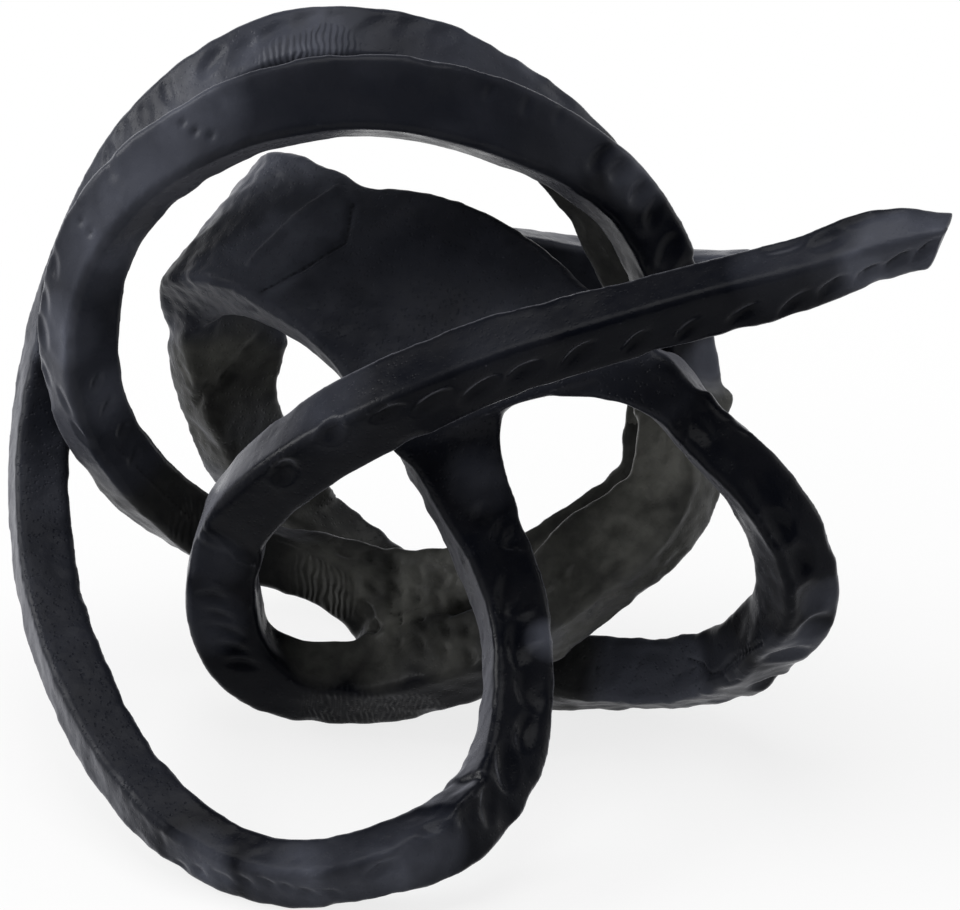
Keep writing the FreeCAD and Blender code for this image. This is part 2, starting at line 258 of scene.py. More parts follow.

# Where it is lighter still, from rubbing and from painted light: middle pixel, radius in pixels and how far
SCUFF_AND_LIGHT_SPOTS = [
    ((925, 240), 75, 0.9), ((860, 262), 60, 0.5), ((780, 262), 60, 0.3), ((150, 185), 70, 0.6),
    ((100, 260), 60, 0.5), ((60, 330), 45, 0.6), ((215, 480), 40, 0.7), ((255, 425), 45, 0.5),
    ((215, 560), 35, 0.4), ((110, 400), 40, 0.4), ((715, 350), 30, 0.8), ((640, 690), 60, 0.8),
    ((720, 680), 60, 0.6), ((800, 650), 50, 0.9), ((825, 600), 30, 0.6), ((262, 250), 60, 0.4),
    ((548, 640), 26, 0.9), ((552, 720), 26, 0.9), ((420, 850), 60, 0.6), ((300, 40), 80, 0.4),
    ((200, 110), 60, 0.5), ((480, 60), 80, 0.3), ((640, 170), 45, 0.5), ((480, 480), 40, 0.3),
    ((60, 480), 60, 0.3), ((330, 870), 70, 0.3), ((200, 868), 50, 0.9), ((290, 886), 60, 0.7),
    ((375, 884), 45, 0.5), ((330, 400), 60, 0.25), ((500, 345), 60, 0.08), ((205, 620), 45, 0.5),
    ((890, 255), 60, 0.9), ((705, 372), 35, 0.9),
]
# A spot fades where the skin turns away from it, and is gone at a cosine of minus this
SPOT_FACING = 0.6

# Which paint each length has
SLOT_NODES = {
    "smooth_skin": ("ring_right", "ring_top", "ring_left"),
    "hammered_skin": ("tail_bar", "small_loop", "cradle_front", "cradle_left", "cradle_back",
                      "inner_riser", "back_ring", "outer_loop_bottom", "riser", "side_loop_right",
                      "hidden_tail"),
    "pitted_skin": ("riser_head", "saddle", "side_loop_head"),
    "rough_skin": ("outer_loop_left", "corner_block", "rear_strap", "rear_foot", "side_loop_bottom"),
}

# Each paint's tone, how coarse its grain is, and its roughness
PAINTS = {
    "smooth_skin": (1.0, 0.6, 0.27),
    "hammered_skin": (0.95, 1.0, 0.29),
    "pitted_skin": (1.15, 1.8, 0.33),
    "rough_skin": (1.0, 1.9, 0.36),
}
PAINT_COOL = (0.0032, 0.0038, 0.0064)
PAINT_WARM = (0.0068, 0.0072, 0.0096)
# Olive grey that paints in warm light reflected onto the inner faces
PAINTED_OLIVE_LIGHT = (0.1600, 0.1600, 0.1450)
# Painted sheen: lighter paint where the skin turns away, standing in for the surroundings' reflection at
# grazing angles
PAINTED_RIM_SHEEN = (0.105, 0.107, 0.122)
# Lighter paint for rubbed places, which also serves as painted light on lit and reflecting faces
SCUFF_AND_LIGHT_PAINT = (0.074, 0.079, 0.100)
# Lighter paint on sharp edges: worn paint, and a painted highlight along the bevels
EDGE_WEAR_AND_HIGHLIGHT = (0.046, 0.047, 0.056)
HOLLOW_SHADE = (0.0034, 0.0036, 0.0044)
PAINT_SPECULAR = 0.055

# How far a paint's roughness varies down and up, and what hollows add
SMOOTHER = 0.05
ROUGHER = 0.07
HOLLOW_ROUGHNESS = 0.2

# Noises that vary the paint: waves per metre, detail, the two levels of the noise that count, and the
# values that they give
CLOUDS = (55, 3.0, (0.35, 0.68), (0.0, 1.0))
SCUFF_AND_LIGHT_PATCHES = (38, 4.0, (0.42, 0.66), (0.65, 1.2))
PAINTED_OLIVE_LIGHT_STREAKS = (210, 4.0, (0.3, 0.7), (0.75, 1.15))
EDGE_WEAR_AND_HIGHLIGHT_SPECKLE = (900, 2.0, (0.3, 0.6), (0.35, 1.0))
HOLLOW_SPECKLE = (900, 2.0, (0.35, 0.6), (0.2, 0.7))
SHEEN_WAVES = 140
SHEEN_LEVELS = (0.3, 0.7)

# How sharply the skin bends, per metre, where the paint starts to wear and take a painted edge highlight, or
# to take painted shade, and where either is full; and how far it turns away where the painted rim sheen
# starts and is full
EDGE_WEAR_AND_HIGHLIGHT_BEND = (90, 420)
HOLLOW_BEND = (-60, -260)
PAINTED_SHEEN_TURN = (0.46, 0.95)
PAINTED_SHEEN_BLEND = 0.5

# The paint's fine relief: its noises' detail, waves or cells per metre, and how much each kind counts.
# The ribs' spacing and how far they bend are in metres
FINE_DETAIL = 2.0
PLAIN_DETAIL = 1.0
GRAIN_WAVES = 1300
GRAIN_SHARE = 0.5
LUMP_WAVES = 420
LUMP_SHARE = 0.5
PIT_CELLS = 620
PIT_LEVELS = (0.12, 0.34)
PIT_SHARE = 0.35
RIB_SPACING = 0.0019
RIB_SHARE = 1.3
RIB_BEND_WAVES = 120
RIB_BEND = 0.004
RELIEF_STRENGTH = 0.55
RELIEF_DEPTH = 0.00022

# The floor: half its side in metres, its paint, and the distances from the middle between which it
# turns white, with the white's share at each
FLOOR_REACH = 30.0
FLOOR_COLOUR = (0.74, 0.74, 0.74, 1.0)
FLOOR_ROUGHNESS = 0.9
FLOOR_SPECULAR = 0.1
FLOOR_FADE = (0.08, 0.34)
FLOOR_WHITE = (0.8, 1.0)

# The world's light: white, and stronger from the sides
WORLD_WHITE = (1, 1, 1, 1)
SIDE_LEVELS = (0.35, 0.95)
SIDE_LIGHT = 1.3
DARK_SIDE_LIGHT = 0.05

# Soft boxes: place and size in metres, and power in watts. All look at one point
LAMPS = {
    "left_box": ((-1.8, 0.4, 0.9), (0.9, 1.2), 34),
    "top_box": ((-0.2, 0.3, 2.2), (1.6, 1.6), 30),
    "right_box": ((2.0, 0.9, 0.6), (1.0, 1.2), 8),
}
LAMP_TARGET = (0, 0, 0.1)

# The camera: metres from the sheet, and how deep behind the sheet the point that it looks at lies
CAMERA_DISTANCE = 8.0
CAMERA_DEPTH = 0.05
CAMERA_NEAR = 0.5
CAMERA_FAR = 100.0


def photo_point(u, v, depth=0.0):
    """Return the place on the sheet that a pixel of the photograph looks at."""
    across = (u - ZERO_PIXEL[0]) / PIXELS_PER_SQUARE * SHEET_SQUARE
    rise = (ZERO_PIXEL[1] - v) / PIXELS_PER_SQUARE * SHEET_SQUARE
    return SHEET_ZERO + Vector((across, 0.0, 0.0)) + rise * RISE_AXIS + depth * DEPTH_AXIS


def photo_pixels(points):
    """Return the column and the row of the photograph's pixel that looks at each point."""
    offset = points - np.array(SHEET_ZERO)
    column = offset[:, 0] / PIXEL + ZERO_PIXEL[0]
    row = ZERO_PIXEL[1] - offset @ np.array(RISE_AXIS) / PIXEL
    return column, row


def between(first, last, share):
    """Return the pixel that lies a share of the way from one pixel to another."""
    return [a + (b - a) * share for a, b in zip(first, last)]


def gathered(nodes):
    """Return the points and faces of some CAD solids, and the place in the list of each face's node."""
    verts = []
    faces = []
    owners = []
    for number, node in enumerate(nodes):
        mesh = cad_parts[node].data
        first = len(verts)
        verts.extend(tuple(v.co) for v in mesh.vertices)
        faces.extend(tuple(first + i for i in p.vertices) for p in mesh.polygons)
        owners.extend([number] * len(mesh.polygons))
    return verts, faces, owners


def even_skin(verts, faces):
    """Return one even, closed surface round overlapping or touching solids."""
    mesh = bpy.data.meshes.new("joined")
    mesh.from_pydata(verts, [], faces)
    work = bpy.data.objects.new("joined", mesh)
    bpy.context.scene.collection.objects.link(work)
    remesh = work.modifiers.new("even", "REMESH")
    remesh.mode = "VOXEL"
    remesh.voxel_size = SKIN_GRID
    even = bpy.data.meshes.new_from_object(work.evaluated_get(bpy.context.evaluated_depsgraph_get()))
    points = np.empty(len(even.vertices) * 3)
    even.vertices.foreach_get("co", points)
    quads = np.array([tuple(p.vertices) for p in even.polygons])
    bpy.data.objects.remove(work)
    bpy.data.meshes.remove(even)
    return points.reshape(-1, 3), quads


def crevice_filling(points):
    """Return small octahedra that fill the narrow crevice between the band's two lanes."""
    trees = [BVHTree.FromPolygons(*gathered(lane)[:2]) for lane in (FRONT_LANE, BACK_LANE)]
    verts = []
    faces = []
    for point in points:
        spot = Vector(point)
        if all(tree.find_nearest(spot, CREVICE_WIDTH)[0] is not None for tree in trees):
            first = len(verts)
            for axis in range(3):
                for side in (-1, 1):
                    corner = list(point)
                    corner[axis] += side * CREVICE_BALL
                    verts.append(tuple(corner))
            faces.extend(tuple(first + i for i in face) for face in BALL_FACES)
    return verts, faces


def joined_skin(nodes):
    """Return one even, closed surface round the CAD solids, as points and faces."""
    verts, faces, owners = gathered(nodes)
    points, quads = even_skin(verts, faces)
    if not set(FRONT_LANE + BACK_LANE) <= set(nodes):
        return points, quads
    more_verts, more_faces = crevice_filling(points)
    first = len(verts)
    faces += [tuple(first + i for i in face) for face in more_faces]
    return even_skin(verts + more_verts, faces)


def edges_of(quads):
    """Return each pair of neighbouring points once for every face that has it."""
    return np.concatenate([quads[:, [i, (i + 1) % 4]] for i in range(4)])


def relaxed(points, quads, rounds, share=0.5):
    """Move each point, or each row of values, towards the middle of its neighbours."""
    pairs = edges_of(quads)
    count = np.bincount(pairs[:, 0], minlength=len(points))[:, None]
    for step in range(rounds):
        total = np.zeros_like(points)
        for axis in range(points.shape[1]):
            total[:, axis] = np.bincount(pairs[:, 0], points[pairs[:, 1], axis], len(points))
        points = points + share * (total / np.maximum(count, 1) - points)
    return points


def relaxed_values(values, quads, rounds):
    """Blend each point's one value with its neighbours' values."""
    return relaxed(values[:, None], quads, rounds)[:, 0]


def point_normals(points, quads):
    """Return the outward direction at each point."""
    a = points[quads[:, 2]] - points[quads[:, 0]]
    b = points[quads[:, 3]] - points[quads[:, 1]]
    face = np.cross(a, b)
    total = np.zeros_like(points)
    for corner in range(4):
        for axis in range(3):
            total[:, axis] += np.bincount(quads[:, corner], face[:, axis], len(points))
    return total / np.maximum(np.linalg.norm(total, axis=1), TINY)[:, None]


def edge_marks(points, quads, normals):
    """Return how sharply the skin bends at each point, per metre: above 0 on edges, below in hollows."""
    pairs = edges_of(quads)
    step = points[pairs[:, 1]] - points[pairs[:, 0]]
    bend = -(step * normals[pairs[:, 0]]).sum(axis=1) / np.maximum((step ** 2).sum(axis=1), TINY)
    count = np.maximum(np.bincount(pairs[:, 0], minlength=len(points)), 1)
    return np.bincount(pairs[:, 0], bend, len(points)) / count


def wander(points, size, seed):
    """Return smooth noise between about -1 and 1 at each point; size is the length of one wave."""
    shift = Vector([seed * step for step in SEED_STEPS])
    return np.array([noise.noise(Vector(p) / size + shift) for p in points])


def seen_spot(tree, pixel):
    """Return where a pixel of the photograph meets the skin, and the skin's outward direction there."""
    start = photo_point(float(pixel[0]), float(pixel[1]), LOOK_DEPTH)
    spot, normal, face, distance = tree.ray_cast(start, DEPTH_AXIS)
    return spot, normal


def slanted_tip(points):
    """Slant the free end's face, so that its upper corner reaches out beyond its lower one."""
    column, row = photo_pixels(points)
    share = np.clip((column - TIP_START) / (TIP_END - TIP_START), 0, 1) * (row < TIP_BELOW)
    move = (TIP_REACH - (row - TIP_TOP) * TIP_SLANT) * PIXEL
    points[:, 0] += share ** 2 * move
    return points


def drawn_out_end(points):
    """Draw the second free end out into a thin taper behind the tail bar."""
    column, row = photo_pixels(points)
    share = np.clip((column - TAPER_START) / (TAPER_END - TAPER_START), 0, 1)
    points[:, 0] += share * TAPER_REACH * PIXEL
    rise = share * TAPER_SHARE * (row - TAPER_ROW) * PIXEL
    return points + rise[:, None] * np.array(RISE_AXIS)


def soothed(points, quads, tree):
    """Smooth the skin round the spots where two strands meet in a soft hollow."""
    soft = relaxed(points, quads, SOFT_ROUNDS)
    for pixel, radius in SOFT_SPOTS:
        spot, normal = seen_spot(tree, pixel)
        if spot is not None:
            distance = np.linalg.norm(points - np.array(spot), axis=1)
            share = np.clip(SOFT_END - distance / (radius * PIXEL), 0, 1)[:, None]
            points = points * (1 - share) + soft * share
    return points


class Skin:
    """The surface of a run of lengths before it is hammered, with what finds places on it."""

    def __init__(self, own, nodes):
        points, quads = joined_skin(nodes)
        points = relaxed(points, quads, RAW_ROUNDS)
        if "tail_bar" in own:
            points = slanted_tip(points)
        if "hidden_tail" in own:
            points = drawn_out_end(points)
        self.quads = quads
        self.tree = BVHTree.FromPolygons([tuple(p) for p in points], [tuple(q) for q in quads])
        self.points = soothed(points, quads, self.tree)
        self.normals = point_normals(relaxed(self.points, quads, NORMAL_ROUNDS), quads)

    def face_owners(self, nodes):
        """Return, for each face, the place in the list of the node that it covers."""
        verts, faces, owners = gathered(nodes)
        tree = BVHTree.FromPolygons(verts, faces)
        middles = self.points[self.quads].mean(axis=1)
        return np.array([owners[tree.find_nearest(Vector(m))[2]] for m in middles])

    def point_owners(self, owner):
        """Return, for each point, the owner of one of its faces."""
        owner_points = np.zeros(len(self.points), int)
        for corner in range(4):
            owner_points[self.quads[:, corner]] = owner
        return owner_points

    def near(self, spot, normal, way, reach):
        """Return the points near a spot, and how far each lies along and across a direction."""
        offset = self.points - np.array(spot)
        near = np.flatnonzero((offset ** 2).sum(axis=1) < reach ** 2)
        near = near[(self.normals[near] @ np.array(normal)) > SAME_SIDE]
        along = offset[near] @ np.array(way)
        across = offset[near] @ np.array(normal.cross(way))
        return near, along, across


def picture_way(angle, normal):
    """Lay a direction in the picture onto the skin."""
    turn = math.radians(angle)
    way = math.cos(turn) * Vector((1, 0, 0)) + math.sin(turn) * RISE_AXIS
    way = way - way.dot(normal) * normal
    return way.normalized()


def bar_way(skin, coarse, spot, normal):
    """Return the way that the bar runs at a spot, which is across all the outward directions round it."""
    offset = skin.points[coarse] - np.array(spot)
    around = skin.normals[coarse[(offset ** 2).sum(axis=1) < BAR_REACH ** 2]]
    values, ways = np.linalg.eigh(around.T @ around)
    way = Vector(ways[:, 0])
    return (way - way.dot(normal) * normal).normalized()


def press_dent(height, skin, spot, normal, way, size, depth):
    """Sink an oval dent that is deepest towards one side, with a faint raised rim."""
    near, along, across = skin.near(spot, normal, way, size[0])
    ring = np.sqrt((along / size[0] * 2) ** 2 + (across / size[1] * 2) ** 2)
    bowl = -np.clip(1 - ring ** 2, 0, 1) * (1 + DENT_TILT * across / size[1])
    rim = RIM_HEIGHT * np.exp(-((ring - RIM_PLACE_SHARE) / RIM_WIDTH_SHARE) ** 2)
    height[near] = np.minimum(height[near], depth * bowl) + depth * rim


def least_and_more(values, share):
    """Return the least value and a share of how much more it may be."""
    least, more = values
    return least + more * share


def hidden_dents(height, skin):
    """Spread dents along the bar over the sides that the photograph doesn't show."""
    chance = np.random.default_rng(HIDDEN_SEED)
    low, high = (np.array(corner) for corner in cad_box)
    counts = np.ceil((high - low) / HIDDEN_SPACING).astype(int)
    cells = np.stack(np.meshgrid(*[np.arange(n) for n in counts], indexing="ij"), -1).reshape(-1, 3)
    places = low + (cells + chance.uniform(*HIDDEN_PLACE, cells.shape)) * HIDDEN_SPACING
    sizes = chance.uniform(0, 1, cells.shape)
    coarse = np.arange(0, len(skin.points), BAR_STEP)
    for place, (long_share, wide_share, deep_share) in zip(places, sizes):
        spot, normal, face, distance = skin.tree.find_nearest(Vector(place), HIDDEN_SPACING * HIDDEN_REACH)
        if spot is None or normal.dot(DEPTH_AXIS) < HIDDEN_FACING:
            continue
        length = least_and_more(HIDDEN_LENGTH, long_share) * MM
        width = length * least_and_more(HIDDEN_WIDTH_SHARE, wide_share)
        depth = least_and_more(HIDDEN_DEPTH, deep_share) * MM
        way = bar_way(skin, coarse, spot, normal)
        press_dent(height, skin, spot, normal, way, (length, width), depth)


def row_dents(height, skin):
    """Press the rows of dents that the photograph shows."""
    chance = np.random.default_rng(ROW_SEED)
    for first, last, count, size, angle, depth in DENT_ROWS:
        for i in range(count):
            shift = chance.uniform(-ROW_SHIFT, ROW_SHIFT, 2)
            swell = DENT_SPREAD * PIXEL * chance.uniform(*ROW_SWELL, 2)
            turn = angle + chance.uniform(-ROW_TURN, ROW_TURN)
            pixel = between(first, last, i / max(count - 1, 1)) + shift
            spot, normal = seen_spot(skin.tree, pixel)
            if spot is not None:
                press_dent(height, skin, spot, normal, picture_way(turn, normal),
                           (size[0] * swell[0], size[1] * swell[1]), depth * DENT_DEEPEN * MM)


def draw_line(height, skin, pixels, width, depth):
    """Raise a vein or sink a crack along a line of pixels."""
    for first, last in zip(pixels, pixels[1:]):
        steps = max(2, int(math.dist(first, last) / LINE_STEP))
        for step in range(steps):
            spot, normal = seen_spot(skin.tree, between(first, last, step / steps))
            if spot is None:
                continue
            near, along, across = skin.near(spot, normal, picture_way(0, normal), width * PIXEL * 2)
            ring = np.sqrt(along ** 2 + across ** 2) / (width * PIXEL)
            bump = depth * np.exp(-ring ** 2 * 2)
            height[near] = np.maximum(height[near], bump) if depth > 0 else np.minimum(height[near], bump)


def hammered_height(skin, rough):
    """Return how far each point of the skin rises or sinks under dents, lines and rough casting."""
    height = np.zeros(len(skin.points))
    hidden_dents(height, skin)
    row_dents(height, skin)
    height = relaxed_values(height, skin.quads, DENT_ROUNDS)
    for pixels, width, depth in LINES:
        draw_line(height, skin, pixels, width, depth * MM)
    for size, seed, swell in SWELLS:
        height += wander(skin.points, size, seed) * swell * MM
    for size, seed, swell in ROUGH_SWELLS:
        height += rough * wander(skin.points, size, seed) * swell * MM
    return height


def spread_value(value_of, usual, nodes, skin, owner_points, rounds):
    """Return a length's value at each point, blended softly over the seams."""
    values = np.array([value_of.get(nodes[i], usual) for i in owner_points])
    return relaxed_values(values, skin.quads, rounds)


def with_spots(values, spots, skin):
    """Add round, soft-edged spots of the photograph's view to a value between 0 and 1."""
    for pixel, radius, share in spots:
        spot, normal = seen_spot(skin.tree, pixel)
        if spot is not None:
            spread = ((skin.points - np.array(spot)) ** 2).sum(axis=1) / (radius * PIXEL) ** 2
            facing = np.clip(skin.normals @ np.array(normal) + SPOT_FACING, 0, 1)
            values = values + share * facing * np.clip(1 - spread, 0, 1)
    return np.clip(values, 0, 1)


def rib_marks(skin):
    """Return how strongly each point is ribbed, from 0 to 1."""
    mark = np.zeros(len(skin.points))
    for pixel, radius in RIBBED_PATCHES:
        spot, normal = seen_spot(skin.tree, pixel)
        if spot is None:
            continue
        reach = radius * PIXEL
        near, along, across = skin.near(spot, normal, picture_way(0, normal), reach)
        ribbed = np.clip(RIBBED_MIDDLE - (along ** 2 + across ** 2) / reach ** 2, 0, 1)
        mark[near] = np.maximum(mark[near], ribbed)
    return mark


def skin_marks(skin, nodes, owner_points):
    """Return the values that the skin carries for its paint, all but the one for its edges."""
    rough = spread_value(ROUGHNESS_OF, USUAL_ROUGHNESS, nodes, skin, owner_points, ROUGH_ROUNDS)
    painted_olive_light = spread_value(PAINTED_OLIVE_LIGHT_OF, 0.0, nodes, skin, owner_points, COLOUR_ROUNDS)
    scuff_and_light = spread_value(SCUFF_AND_LIGHT_OF, 0.0, nodes, skin, owner_points, COLOUR_ROUNDS)
    return {
        "rough": rough,
        "painted_olive_light": with_spots(painted_olive_light, PAINTED_OLIVE_LIGHT_SPOTS, skin),
        "scuff_and_light": with_spots(scuff_and_light, SCUFF_AND_LIGHT_SPOTS, skin),
        "ribs": rib_marks(skin),
    }


def skin_piece(name, points, quads, normals, marks):
    """Make the object that stands for one node."""
    used = np.unique(quads)
    place = np.zeros(len(points), int)
    place[used] = np.arange(len(used))
    local = place[quads]
    mesh = bpy.data.meshes.new(name + "_skin")
    mesh.vertices.add(len(used))
    mesh.vertices.foreach_set("co", points[used].ravel())
    mesh.loops.add(local.size)
    mesh.loops.foreach_set("vertex_index", local.ravel())
    mesh.polygons.add(len(local))
    mesh.polygons.foreach_set("loop_start", np.arange(0, local.size, 4))
    mesh.polygons.foreach_set("use_smooth", np.ones(len(local), bool))
    mesh.update(calc_edges=True)
    mesh.validate()
    mesh.normals_split_custom_set_from_vertices(normals[used].tolist())
    for mark, values in marks.items():
        layer = mesh.attributes.new(mark, "FLOAT", "POINT")
        layer.data.foreach_set("value", values[used].astype(np.float32))
    piece = bpy.data.objects.new(name + "_skin", mesh)
    bpy.context.scene.collection.objects.link(piece)
    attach(piece, "root")
    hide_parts(name)
    return piece


def dressed_group(own, context):
    """Skin a run of lengths, hammer it, and cut it into one piece for each node."""
    nodes = own + context
    skin = Skin(own, nodes)
    owner = skin.face_owners(nodes)
    marks = skin_marks(skin, nodes, skin.point_owners(owner))
    height = hammered_height(skin, marks["rough"])
    points = skin.points + skin.normals * height[:, None]
    points[:, 2] = np.maximum(points[:, 2], 0.0)
    points = relaxed(points, skin.quads, 1, LAST_SMOOTHING)
    normals = point_normals(points, skin.quads)
    marks["edge"] = relaxed_values(edge_marks(points, skin.quads, normals), skin.quads, 1)
    return {node: skin_piece(node, points, skin.quads[owner == number], normals, marks)
            for number, node in enumerate(own)}


class Nodes:
    """A short way to add and link shader nodes."""

    def __init__(self, tree):
        self.tree = tree

    def add(self, kind, **settings):
        """Return a new node of a kind, with some of its settings."""
        node = self.tree.nodes.new("ShaderNode" + kind)
        for name, value in settings.items():
            setattr(node, name, value)
        return node

    def link(self, source, target):
        """Link one node's output to another's input."""
        self.tree.links.new(source, target)

    def maths(self, operation, a, b=0.0, clamp=False):
        """Return a sum, product or other result of two numbers or sockets."""
        node = self.add("Math", operation=operation, use_clamp=clamp)
        for socket, value in zip(node.inputs, (a, b)):
            if isinstance(value, (int, float)):
                socket.default_value = value
            else:
                self.link(value, socket)
        return node.outputs[0]

    def ramp(self, value, low, high, start=0.0, end=1.0):
        """Return a value that goes smoothly from start to end between two levels."""
        node = self.add("MapRange", interpolation_type="SMOOTHSTEP")
        self.link(value, node.inputs["Value"])
        for name, number in (("From Min", low), ("From Max", high), ("To Min", start), ("To Max", end)):
            node.inputs[name].default_value = number
        return node.outputs["Result"]

    def mix(self, share, a, b):
        """Return a blend of two colours."""
        node = self.add("Mix", data_type="RGBA")
        self.link(share, node.inputs["Factor"])
        for socket, value in ((node.inputs["A"], a), (node.inputs["B"], b)):
            if isinstance(value, tuple):
                socket.default_value = value + (1.0,)
            else:
                self.link(value, socket)
        return node.outputs["Result"]

    def noise(self, place, waves_per_metre, detail=3.0):
        """Return smooth noise between 0 and 1."""
        node = self.add("TexNoise")
        node.inputs["Scale"].default_value = waves_per_metre
        node.inputs["Detail"].default_value = detail
        self.link(place, node.inputs["Vector"])
        return node.outputs["Fac"]

    def varied(self, place, waves_per_metre, detail, levels, values):
        """Return noise that is stretched from one value to another between two of its levels."""
        return self.ramp(self.noise(place, waves_per_metre, detail), *levels, *values)

    def mark(self, name):
        """Return a value that the skin carries at each point."""
        return self.add("Attribute", attribute_name=name).outputs["Fac"]

    def surface(self, shader):
        """Make a shader's output what the material shows."""
        self.link(shader.outputs[0], self.tree.nodes["Material Output"].inputs["Surface"])


def new_material(name):
    """Return a new material, its nodes and its plain shader."""
    material = bpy.data.materials.new(name)
    material.use_nodes = True
    return material, Nodes(material.node_tree), material.node_tree.nodes["Principled BSDF"]


def hollow_share(nodes, place):
    """Return how far the paint darkens in hollows."""
    return nodes.maths("MULTIPLY", nodes.ramp(nodes.mark("edge"), *HOLLOW_BEND),
                       nodes.varied(place, *HOLLOW_SPECKLE))


def paint_colour(nodes, place, tone, hollow):
    """Return the paint's colour: clouded, rubbed and painted lighter where lit, painted olive light inside,
    a painted sheen at its rim, worn edges with a painted highlight, and painted shade in hollows.
    """
    cool = tuple(channel * tone for channel in PAINT_COOL)
    warm = tuple(channel * tone for channel in PAINT_WARM)
    colour = nodes.mix(nodes.varied(place, *CLOUDS), cool, warm)
    # Rubbed paint and painted light on lit faces
    scuff_and_light = nodes.maths("MULTIPLY", nodes.mark("scuff_and_light"), nodes.varied(place, *SCUFF_AND_LIGHT_PATCHES), clamp=True)
    colour = nodes.mix(scuff_and_light, colour, SCUFF_AND_LIGHT_PAINT)
    # Painted warm reflected light on the inner faces, streaked by noise
    painted_olive_light = nodes.mark("painted_olive_light")
    streaked = nodes.maths("MULTIPLY", painted_olive_light, nodes.varied(place, *PAINTED_OLIVE_LIGHT_STREAKS), clamp=True)
    colour = nodes.mix(streaked, colour, PAINTED_OLIVE_LIGHT)
    not_painted_olive_light = nodes.maths("SUBTRACT", 1.0, painted_olive_light, clamp=True)
    # Painted rim sheen where the skin turns away from the view, kept off the painted olive light
    grazing = nodes.add("LayerWeight")
    grazing.inputs["Blend"].default_value = PAINTED_SHEEN_BLEND
    rim = nodes.maths("MULTIPLY", nodes.ramp(grazing.outputs["Facing"], *PAINTED_SHEEN_TURN), not_painted_olive_light)
    colour = nodes.mix(rim, colour, PAINTED_RIM_SHEEN)
    # Worn paint and a painted highlight on sharp edges
    edge_wear_and_highlight = nodes.maths("MULTIPLY", nodes.ramp(nodes.mark("edge"), *EDGE_WEAR_AND_HIGHLIGHT_BEND),
                       nodes.varied(place, *EDGE_WEAR_AND_HIGHLIGHT_SPECKLE))
    colour = nodes.mix(nodes.maths("MULTIPLY", edge_wear_and_highlight, not_painted_olive_light), colour, EDGE_WEAR_AND_HIGHLIGHT)
    return nodes.mix(hollow, colour, HOLLOW_SHADE)


def paint_roughness(nodes, place, gloss, hollow):
    """Return the paint's roughness, which is a little higher in hollows."""
    sheen = nodes.ramp(nodes.noise(place, SHEEN_WAVES), *SHEEN_LEVELS, gloss - SMOOTHER, gloss + ROUGHER)
    return nodes.maths("ADD", sheen, nodes.maths("MULTIPLY", hollow, HOLLOW_ROUGHNESS))


def rib_relief(nodes, place):
    """Return the height of the fine ribs that grinding left, which run slightly bent."""
    split = nodes.add("SeparateXYZ")
    nodes.link(place, split.inputs[0])
    bend = nodes.maths("MULTIPLY", nodes.noise(place, RIB_BEND_WAVES, PLAIN_DETAIL), RIB_BEND)
    bent = nodes.maths("ADD", split.outputs["X"], bend)
    wave = nodes.maths("SINE", nodes.maths("MULTIPLY", bent, 2 * math.pi / RIB_SPACING))
    return nodes.maths("MULTIPLY", wave, nodes.maths("MULTIPLY", nodes.mark("ribs"), RIB_SHARE))


def paint_relief(nodes, place, grain):
    """Return the outward direction with grain, lumps, pits and ribs in it."""
    pits = nodes.add("TexVoronoi", feature="F1")
    pits.inputs["Scale"].default_value = PIT_CELLS
    nodes.link(place, pits.inputs["Vector"])
    pit = nodes.ramp(pits.outputs["Distance"], *PIT_LEVELS)
    rough = nodes.maths("MULTIPLY", nodes.noise(place, GRAIN_WAVES, FINE_DETAIL), nodes.mark("rough"))
    height = nodes.maths("ADD", nodes.maths("MULTIPLY", rough, GRAIN_SHARE),
                         nodes.maths("MULTIPLY", nodes.noise(place, LUMP_WAVES, FINE_DETAIL), LUMP_SHARE))
    height = nodes.maths("ADD", height, nodes.maths("MULTIPLY", pit, PIT_SHARE * grain))
    height = nodes.maths("ADD", height, rib_relief(nodes, place))
    bump = nodes.add("Bump")
    bump.inputs["Strength"].default_value = RELIEF_STRENGTH
    bump.inputs["Distance"].default_value = RELIEF_DEPTH * grain
    nodes.link(height, bump.inputs["Height"])
    return bump.outputs["Normal"]


def painted_metal(name, tone, grain, gloss):
    """Near-black satin paint over a casting, worn thin with a painted highlight on its edges and with
    painted shade in its hollows.
    """
    material, nodes, shader = new_material(name)
    place = nodes.add("TexCoord").outputs["Object"]
    hollow = hollow_share(nodes, place)
    nodes.link(paint_colour(nodes, place, tone, hollow), shader.inputs["Base Color"])
    nodes.link(paint_roughness(nodes, place, gloss, hollow), shader.inputs["Roughness"])
    nodes.link(paint_relief(nodes, place, grain), shader.inputs["Normal"])
    shader.inputs["Specular IOR Level"].default_value = PAINT_SPECULAR
    return material


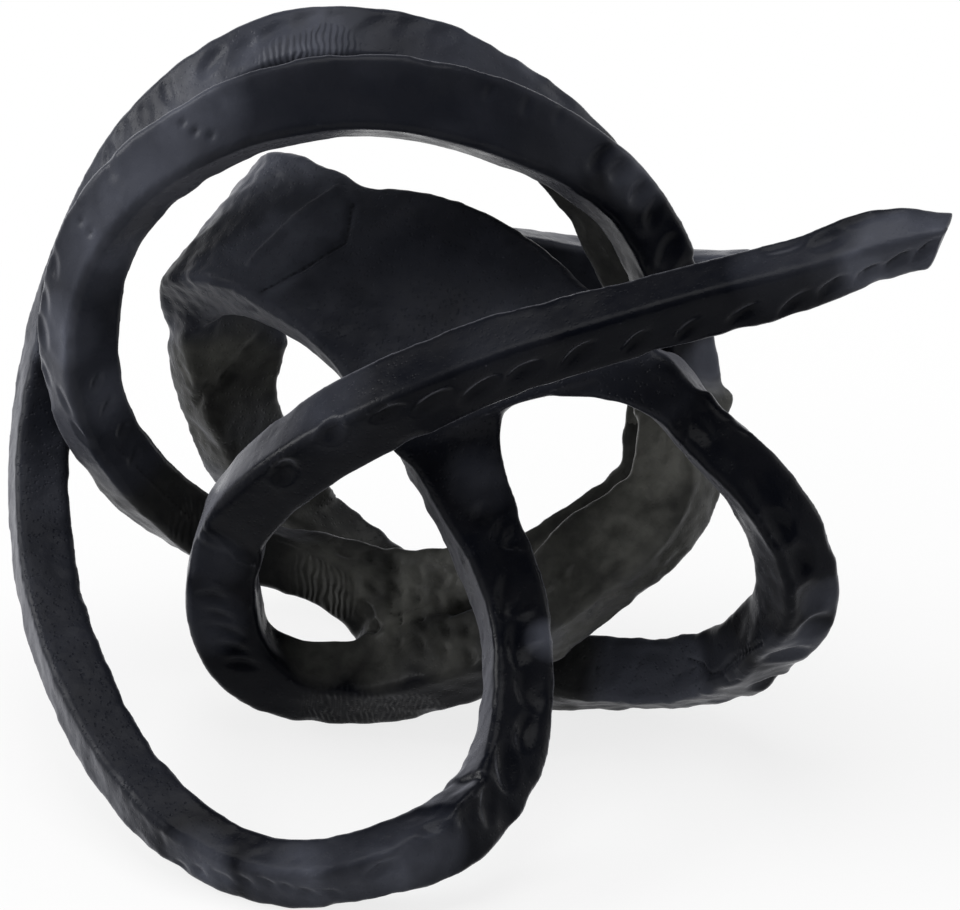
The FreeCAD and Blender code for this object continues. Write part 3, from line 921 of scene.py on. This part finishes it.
def floor_paint():
    """Pale floor that keeps the shadows near the knot and fades to the white backdrop round it."""
    material, nodes, shader = new_material("floor_paint")
    shader.inputs["Base Color"].default_value = FLOOR_COLOUR
    shader.inputs["Roughness"].default_value = FLOOR_ROUGHNESS
    shader.inputs["Specular IOR Level"].default_value = FLOOR_SPECULAR
    path = nodes.add("LightPath")
    seen = nodes.maths("MAXIMUM", path.outputs["Is Camera Ray"], path.outputs["Is Glossy Ray"])
    seen = nodes.maths("MAXIMUM", seen, path.outputs["Is Transmission Ray"])
    length = nodes.add("VectorMath", operation="LENGTH")
    nodes.link(nodes.add("TexCoord").outputs["Object"], length.inputs[0])
    share = nodes.ramp(length.outputs["Value"], *FLOOR_FADE, *FLOOR_WHITE)
    blend = nodes.add("MixShader")
    nodes.link(nodes.maths("MULTIPLY", share, seen), blend.inputs[0])
    nodes.link(shader.outputs[0], blend.inputs[1])
    nodes.link(nodes.add("Emission").outputs[0], blend.inputs[2])
    nodes.surface(blend)
    return material


def pale_floor():
    """Make the floor that the knot stands on."""
    mesh = bpy.data.meshes.new("floor")
    reach = FLOOR_REACH
    mesh.from_pydata([(-reach, -reach, 0), (reach, -reach, 0), (reach, reach, 0), (-reach, reach, 0)],
                     [], [(0, 1, 2, 3)])
    floor = bpy.data.objects.new("floor", mesh)
    bpy.context.scene.collection.objects.link(floor)
    mesh.materials.append(floor_paint())


def surroundings():
    """Make the world, which gives light mostly from both sides."""
    world = bpy.data.worlds.new("studio")
    world.use_nodes = True
    bpy.context.scene.world = world
    nodes = Nodes(world.node_tree)
    backdrop = world.node_tree.nodes["Background"]
    way = nodes.add("SeparateXYZ")
    nodes.link(nodes.add("TexCoord").outputs["Generated"], way.inputs[0])
    sideways = nodes.maths("ABSOLUTE", way.outputs["X"])
    strength = nodes.ramp(sideways, *SIDE_LEVELS, DARK_SIDE_LIGHT, SIDE_LIGHT)
    nodes.link(strength, backdrop.inputs["Strength"])
    backdrop.inputs["Color"].default_value = WORLD_WHITE


def soft_box(name, place, size, power):
    """Add a rectangular area light that looks at the knot."""
    data = bpy.data.lights.new(name, "AREA")
    data.shape = "RECTANGLE"
    data.size, data.size_y = size
    data.energy = power
    lamp = bpy.data.objects.new(name, data)
    lamp.location = place
    lamp.rotation_euler = (Vector(LAMP_TARGET) - Vector(place)).to_track_quat("-Z", "Y").to_euler()
    bpy.context.scene.collection.objects.link(lamp)


def camera():
    """Look straight at the sheet from far away, as the photograph does."""
    data = bpy.data.cameras.new("photo_camera")
    frame_width = PHOTO_WIDTH / PIXELS_PER_SQUARE * SHEET_SQUARE
    data.lens = data.sensor_width * CAMERA_DISTANCE / frame_width
    data.clip_start = CAMERA_NEAR
    data.clip_end = CAMERA_FAR
    lens = bpy.data.objects.new("photo_camera", data)
    centre = photo_point(PHOTO_WIDTH / 2, PHOTO_HEIGHT / 2, CAMERA_DEPTH)
    lens.location = centre - CAMERA_DISTANCE * DEPTH_AXIS
    lens.rotation_euler = DEPTH_AXIS.to_track_quat("-Z", "Y").to_euler()
    bpy.context.scene.collection.objects.link(lens)
    bpy.context.scene.camera = lens


camera()
pale_floor()
surroundings()
for lamp_name, (lamp_place, lamp_size, lamp_power) in LAMPS.items():
    soft_box(lamp_name, lamp_place, lamp_size, lamp_power)
skins = {slot: painted_metal(slot, *values) for slot, values in PAINTS.items()}
slot_of = {node: slot for slot, nodes in SLOT_NODES.items() for node in nodes}
for own, context in SKIN_GROUPS:
    for node, piece in dressed_group(own, context).items():
        piece.data.materials.append(skins[slot_of[node]])
bpy.context.scene.view_settings.view_transform = "Standard"
